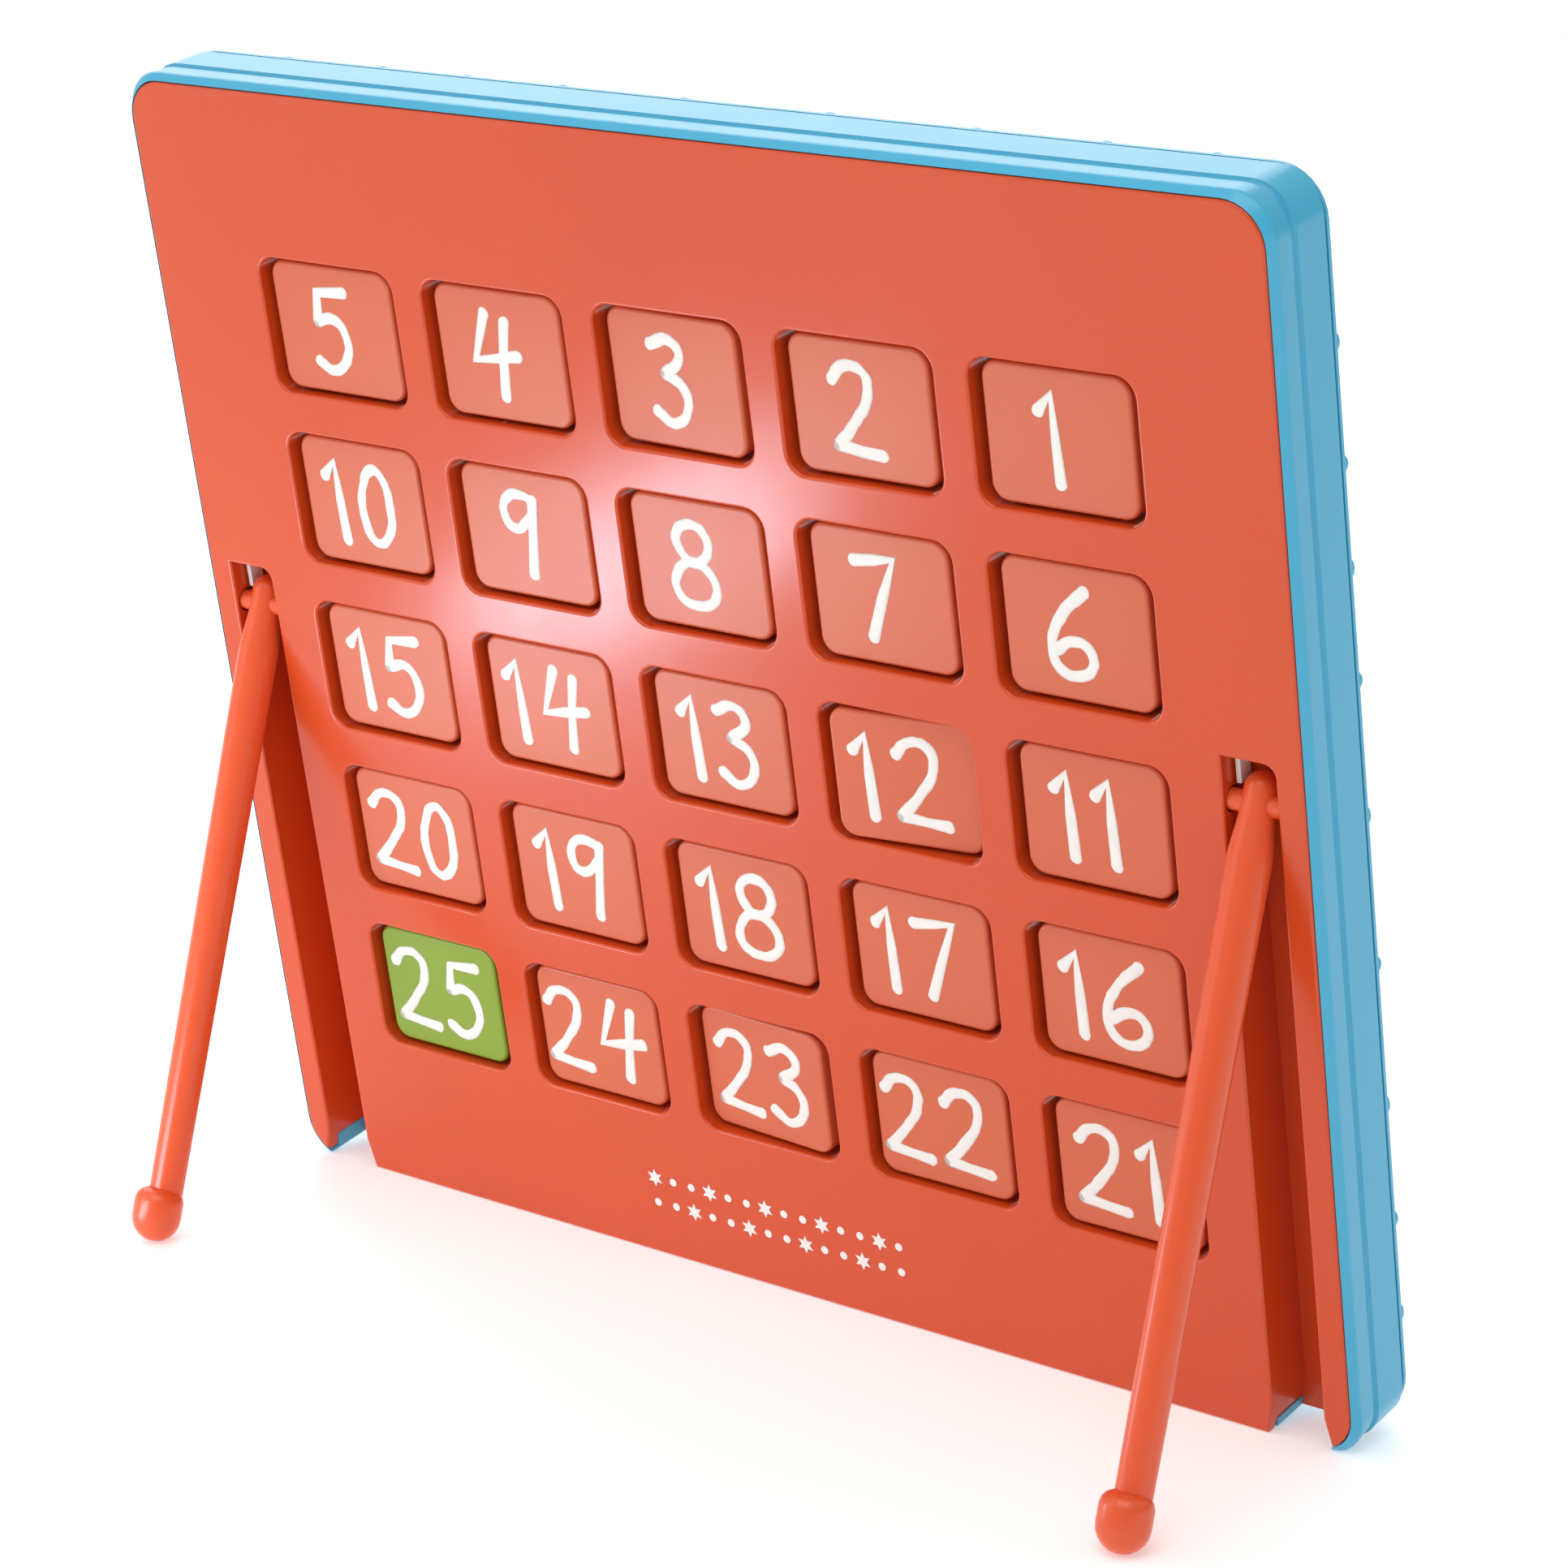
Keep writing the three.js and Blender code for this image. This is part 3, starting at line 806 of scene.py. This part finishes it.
def star(name, radius, points=5, waist=0.45):
    """A flat star from a round disc, every other corner drawn in."""
    bpy.ops.object.select_all(action="DESELECT")
    bpy.ops.mesh.primitive_cylinder_add(vertices=2 * points, radius=radius * MM, depth=PRINT * MM,
                                        rotation=(pi / 2, 0, 0))
    bpy.ops.object.transform_apply(location=True, rotation=True, scale=True)
    made = new_piece(name)
    for vertex in made.data.vertices:
        turn = atan2(vertex.co.x, vertex.co.z) / (pi / points)
        if round(turn) % 2:
            vertex.co.x *= waist
            vertex.co.z *= waist
    return made


def tree(name, radius):
    tiers = []
    for tier, size in enumerate((1.0, 0.8, 0.6)):
        part = star(name, radius * size, 3, 0.5)
        part.data.transform(Matrix.Translation((0, 0, (tier * 0.45 - 0.35) * radius * MM)))
        tiers.append(part)
    trunk = block(name, radius * 0.3, radius * 0.5, -PRINT / 2, PRINT / 2, 0, -radius)
    for part in tiers[1:] + [trunk]:
        shape_by(tiers[0], part, "UNION")
    return tiers[0]


def bauble(name, radius):
    ball = star(name, radius * 0.75, 16, 1)
    cap = block(name, radius * 0.4, radius * 0.35, -PRINT / 2, PRINT / 2, 0, radius * 0.85)
    return shape_by(ball, cap, "UNION")


pictures = [star("star", 6), tree("tree", 6), bauble("bauble", 6.5), snowflake("flake", 6, PRINT)]
for number in numbers:
    picture_print = own_copy(pictures[number % len(pictures)], f"tile_picture_{number:02d}")
    shift(picture_print, 0, (TILE["thickness"] + PRINT) / 2 - 0.02, 0)
    picture_print.data.transform(tile_place(number))
    picture_print.data.materials.append(white_print.material)
    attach(picture_print, f"tile_{number:02d}")
for picture_print in pictures:
    bpy.data.objects.remove(picture_print)


# The two orange legs: a tapered rod with a narrow neck, stub pins that turn in the walls of
# the channels, and an offset foot with a round shoulder.
LEG = {"length": 81.3, "neck": 2.1, "tip": 3.8, "taper": 7, "top": 2.6, "bottom": 2.2}
FOOT = {"radius": 3.2, "barrel": 2.2, "offset": 1}
LEG_PIN = {"radius": 1.3, "reach": 4.1}
leg_plastic = moulded_plastic("leg_plastic", color(0.74, 0.085, 0.018),
                              color(0.79, 0.100, 0.026), 0.28)


def turned(name, profile, sides=40):
    """A round piece standing on Z, drawn out ring by ring along (height, radius) steps."""
    bpy.ops.object.select_all(action="DESELECT")
    height, radius = profile[0]
    bpy.ops.mesh.primitive_circle_add(vertices=sides, radius=radius * MM, fill_type="NGON",
                                      location=(0, 0, height * MM))
    bpy.ops.object.transform_apply(location=True, rotation=True, scale=True)
    piece = new_piece(name)
    bpy.ops.object.mode_set(mode="EDIT")
    bpy.ops.mesh.select_all(action="SELECT")
    for next_height, next_radius in profile[1:]:
        bpy.ops.mesh.extrude_region_move()
        bpy.ops.transform.translate(value=(0, 0, (next_height - height) * MM))
        scale = next_radius / radius
        bpy.ops.transform.resize(value=(scale, scale, 1))
        height, radius = next_height, next_radius
    bpy.ops.mesh.select_all(action="SELECT")
    bpy.ops.mesh.normals_make_consistent(inside=False)
    bpy.ops.object.mode_set(mode="OBJECT")
    return piece


length, neck = LEG["length"], LEG["neck"]
shoulder = [(-LEG["taper"] * (1 - step / 8),
             LEG["top"] + (neck - LEG["top"]) * (0.5 - 0.5 * cos(pi * step / 8))) for step in range(9)]
crown = [(LEG["tip"] - neck + neck * sin(radians(turn)), neck * cos(radians(turn)))
         for turn in (0, 18, 36, 54, 70, 84)]
first_leg = turned("leg", [(-length, LEG["bottom"])] + shoulder + crown)
heel = [(-length + FOOT["radius"] * sin(radians(turn)), FOOT["radius"] * cos(radians(turn)))
        for turn in (-86, -66, -48, -32, -16, 0)]
shoulder_top = -length + FOOT["barrel"]
heel += [(shoulder_top, FOOT["radius"]), (shoulder_top + 0.7, FOOT["radius"] * 0.93),
         (shoulder_top + 1.2, FOOT["radius"] * 0.8), (shoulder_top + 1.6, LEG["bottom"] * 0.8)]
foot = shift(turned("foot", heel, 40), 0, -FOOT["offset"], 0)
shape_by(first_leg, foot, "UNION")
leg_pin = rod("leg_pin", LEG_PIN["radius"], 2 * LEG_PIN["reach"], "X", 0, 0, 0)
shape_by(first_leg, leg_pin, "UNION")
for side in ("left", "right"):
    pivot = joints[f"fold_{side}"]
    opened = -radians(pivot["range_deg"][0])
    leg = own_copy(first_leg, f"prop_leg_{side}")
    place = Matrix.Translation(Vector(pivot["pos_m"])) @ TIP @ Matrix.Rotation(opened, 4, "X")
    leg.data.transform(place)
    leg.data.materials.append(leg_plastic)
    polish(leg, 40)
    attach(leg, f"leg_{side}")
    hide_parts(f"leg_{side}")
bpy.data.objects.remove(first_leg)


# A small white keeper is wedged in the head of each channel, beside the neck of the leg. It
# holds the leg's pin down.
KEEPER = {"start": 2.5, "bottom": 7.6, "rear": 2.4, "front": 4.6}
white_plastic = moulded_plastic("white_plastic", color(0.80, 0.78, 0.74),
                                color(0.86, 0.85, 0.82), 0.4)
for side, x in zip(("left", "right"), leg_places):
    end = CHANNEL["width"] / 2 - GAP
    top = CHANNEL["top"] - GAP
    keeper = block(f"leg_keeper_{side}", end - KEEPER["start"], top - KEEPER["bottom"], KEEPER["rear"],
                   KEEPER["front"], x + (KEEPER["start"] + end) / 2, (top + KEEPER["bottom"]) / 2)
    soften(keeper, lambda edge: True, 0.15, 2)
    keeper.data.materials.append(white_plastic)
    polish(lean(keeper))
    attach(keeper, "panel")
    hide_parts(f"leg_keeper_{side}")


# Two short rows of tiny printed stars and dots under the bottom row of windows.
ORNAMENT = {"start": 20.2, "top": -64.6, "row": 3.6, "step": 3, "count": 14}
ornament = []
for row in range(2):
    for step in range(ORNAMENT["count"]):
        is_star = (step + row) % 3 == 0
        motif = star("motif", 1.25, 6, 0.5) if is_star else star("motif", 0.55, 10, 1)
        ornament.append(shift(motif, ORNAMENT["start"] - step * ORNAMENT["step"], -PRINT / 4,
                              ORNAMENT["top"] - row * ORNAMENT["row"]))
ornament = join(ornament, "printed_ornament")
ornament.data.materials.append(white_print.material)
lean(ornament)
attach(ornament, "panel")
